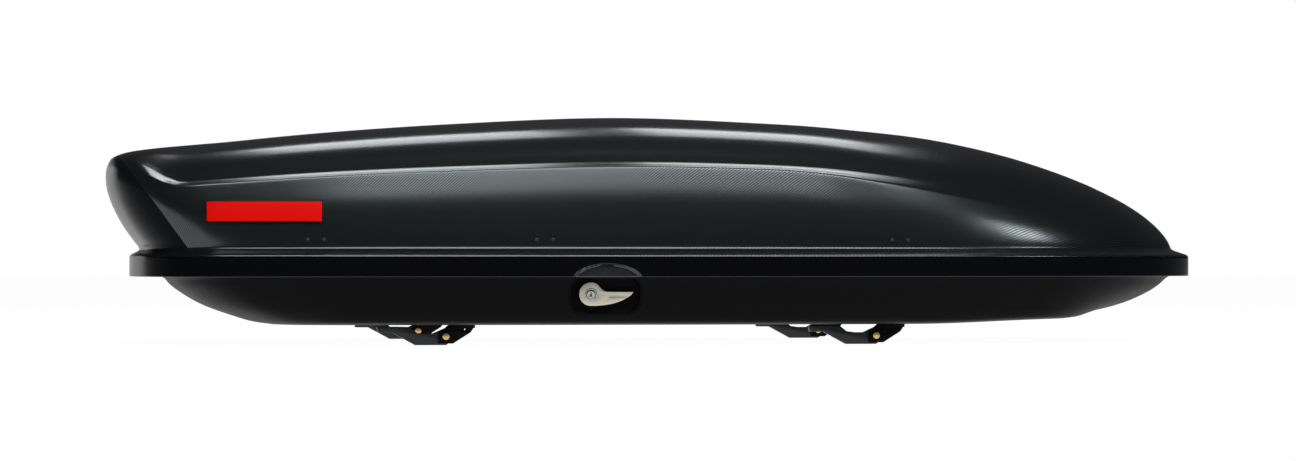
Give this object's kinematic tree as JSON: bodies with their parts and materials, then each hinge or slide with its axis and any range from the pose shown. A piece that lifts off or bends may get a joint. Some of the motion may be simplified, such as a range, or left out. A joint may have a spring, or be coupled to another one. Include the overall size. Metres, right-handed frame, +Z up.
{
  "type": "roof cargo box",
  "caption": "Long tapered roof cargo box with a woven-look lid that opens from either side, a black base, side release levers and crossbar clamps.",
  "frame": {"origin": "middle of the box in plan, at the level of the underside of the closed clamps", "axes": "+X towards the nose, +Y towards the left side of the car, +Z up"},
  "size_m": [2.0569, 0.9154, 0.4216],
  "materials": {
    "lid_weave": "glossy skin with a fine grey and black twill weave, black where it turns under",
    "base_plastic": "satin black moulded plastic",
    "seal_rubber": "matte black foam rubber",
    "lever_metal": "pale champagne silver satin paint on die-cast metal",
    "lock_chrome": "polished lock barrel",
    "pin_steel": "bright zinc plated steel",
    "dark_steel": "black powder coat",
    "bow_aluminium": "brushed",
    "rivet_brass": "passivated yellow",
    "badge_black": "fine texture",
    "badge_red": "plain red, no marks",
    "knob_plastic": "moulded red grip"
  },
  "bodies": {
    "base": {"base_tail": "base_plastic", "base_rear": "base_plastic", "base_bay": "base_plastic", "base_front": "base_plastic", "base_nose": "base_plastic", "rim_seal": "seal_rubber", "lever_cup_right": "base_plastic", "floor_rail_right": "bow_aluminium", "latch_housing_right_rear": "base_plastic", "latch_housing_right_middle": "base_plastic", "latch_housing_right_front": "base_plastic", "clamp_bracket_right_rear": "base_plastic", "clamp_rivet_right_rear": "rivet_brass", "clamp_bracket_right_front": "base_plastic", "clamp_rivet_right_front": "rivet_brass", "lever_cup_left": "base_plastic", "floor_rail_left": "bow_aluminium", "latch_housing_left_rear": "base_plastic", "latch_housing_left_middle": "base_plastic", "latch_housing_left_front": "base_plastic", "clamp_bracket_left_rear": "base_plastic", "clamp_rivet_left_rear": "rivet_brass", "clamp_bracket_left_front": "base_plastic", "clamp_rivet_left_front": "rivet_brass"},
    "right_pins": {"hinge_pin_right_rear": "pin_steel", "hinge_pin_right_middle": "pin_steel", "hinge_pin_right_front": "pin_steel"},
    "lid": {"lid_shell": "lid_weave", "lid_bow_rear": "bow_aluminium", "lid_bow_middle": "bow_aluminium", "lid_bow_front": "bow_aluminium", "hinge_pin_left_rear": "pin_steel", "hinge_pin_left_middle": "pin_steel", "hinge_pin_left_front": "pin_steel", "badge_plate_right": "badge_black", "badge_plate_left": "badge_black", "badge_inlay_right": "badge_red", "badge_inlay_left": "badge_red"},
    "lever_right": {"release_lever_right": "lever_metal", "lever_crank_right": "pin_steel"},
    "lock_right": {"lock_cylinder_right": "lock_chrome"},
    "latch_right": {"latch_shaft_right": "dark_steel"},
    "claw_right_rear": {"clamp_claw_right_rear": "dark_steel"},
    "knob_right_rear": {"clamp_knob_right_rear": "knob_plastic"},
    "claw_right_front": {"clamp_claw_right_front": "dark_steel"},
    "knob_right_front": {"clamp_knob_right_front": "knob_plastic"},
    "lever_left": {"release_lever_left": "lever_metal", "lever_crank_left": "pin_steel"},
    "lock_left": {"lock_cylinder_left": "lock_chrome"},
    "latch_left": {"latch_shaft_left": "dark_steel"},
    "claw_left_rear": {"clamp_claw_left_rear": "dark_steel"},
    "knob_left_rear": {"clamp_knob_left_rear": "knob_plastic"},
    "claw_left_front": {"clamp_claw_left_front": "dark_steel"},
    "knob_left_front": {"clamp_knob_left_front": "knob_plastic"}
  },
  "joints": [
    {"name": "lid_open_right", "type": "hinge", "parent": "base", "child": "right_pins", "pos_m": [0, 0.38, 0.14], "axis": [-1, 0, 0], "range_deg": [0, 45]},
    {"name": "lid_open_left", "type": "hinge", "parent": "right_pins", "child": "lid", "pos_m": [0, -0.38, 0.14], "axis": [-1, 0, 0], "range_deg": [-45, 0]},
    {"name": "lever_turn_right", "type": "hinge", "parent": "base", "child": "lever_right", "pos_m": [-0.17, -0.411, 0.093], "axis": [0, -1, 0], "range_deg": [0, 20]},
    {"name": "lock_turn_right", "type": "hinge", "parent": "lever_right", "child": "lock_right", "pos_m": [-0.17, -0.411, 0.093], "axis": [0, -1, 0], "range_deg": [0, 90]},
    {"name": "latch_turn_right", "type": "hinge", "parent": "base", "child": "latch_right", "pos_m": [0, -0.365, 0.112], "axis": [-1, 0, 0], "range_deg": [0, 22.5]},
    {"name": "knob_turn_right_rear", "type": "hinge", "parent": "base", "child": "knob_right_rear", "pos_m": [-0.395, -0.3, 0.06], "axis": [0, 0, 1], "range_deg": [0, 720]},
    {"name": "claw_open_right_rear", "type": "hinge", "parent": "base", "child": "claw_right_rear", "pos_m": [-0.422, -0.3, 0.016], "axis": [0, -1, 0], "range_deg": [0, 30.5]},
    {"name": "knob_turn_right_front", "type": "hinge", "parent": "base", "child": "knob_right_front", "pos_m": [0.398, -0.3, 0.06], "axis": [0, 0, 1], "range_deg": [0, 720]},
    {"name": "claw_open_right_front", "type": "hinge", "parent": "base", "child": "claw_right_front", "pos_m": [0.371, -0.3, 0.016], "axis": [0, -1, 0], "range_deg": [0, 30.5]},
    {"name": "lever_turn_left", "type": "hinge", "parent": "base", "child": "lever_left", "pos_m": [-0.17, 0.411, 0.093], "axis": [0, -1, 0], "range_deg": [0, 20]},
    {"name": "lock_turn_left", "type": "hinge", "parent": "lever_left", "child": "lock_left", "pos_m": [-0.17, 0.411, 0.093], "axis": [0, -1, 0], "range_deg": [0, 90]},
    {"name": "latch_turn_left", "type": "hinge", "parent": "base", "child": "latch_left", "pos_m": [0, 0.365, 0.112], "axis": [1, 0, 0], "range_deg": [0, 22.5]},
    {"name": "knob_turn_left_rear", "type": "hinge", "parent": "base", "child": "knob_left_rear", "pos_m": [-0.395, 0.3, 0.06], "axis": [0, 0, 1], "range_deg": [0, 720]},
    {"name": "claw_open_left_rear", "type": "hinge", "parent": "base", "child": "claw_left_rear", "pos_m": [-0.422, 0.3, 0.016], "axis": [0, -1, 0], "range_deg": [0, 30.5]},
    {"name": "knob_turn_left_front", "type": "hinge", "parent": "base", "child": "knob_left_front", "pos_m": [0.398, 0.3, 0.06], "axis": [0, 0, 1], "range_deg": [0, 720]},
    {"name": "claw_open_left_front", "type": "hinge", "parent": "base", "child": "claw_left_front", "pos_m": [0.371, 0.3, 0.016], "axis": [0, -1, 0], "range_deg": [0, 30.5]}
  ],
  "couplings": [
    {"joint": "latch_turn_right", "follows": "lever_turn_right", "ratio": 1.1},
    {"joint": "claw_open_right_rear", "follows": "knob_turn_right_rear", "ratio": 0.041667},
    {"joint": "claw_open_right_front", "follows": "knob_turn_right_front", "ratio": 0.041667},
    {"joint": "latch_turn_left", "follows": "lever_turn_left", "ratio": 1.1},
    {"joint": "claw_open_left_rear", "follows": "knob_turn_left_rear", "ratio": 0.041667},
    {"joint": "claw_open_left_front", "follows": "knob_turn_left_front", "ratio": 0.041667}
  ]
}
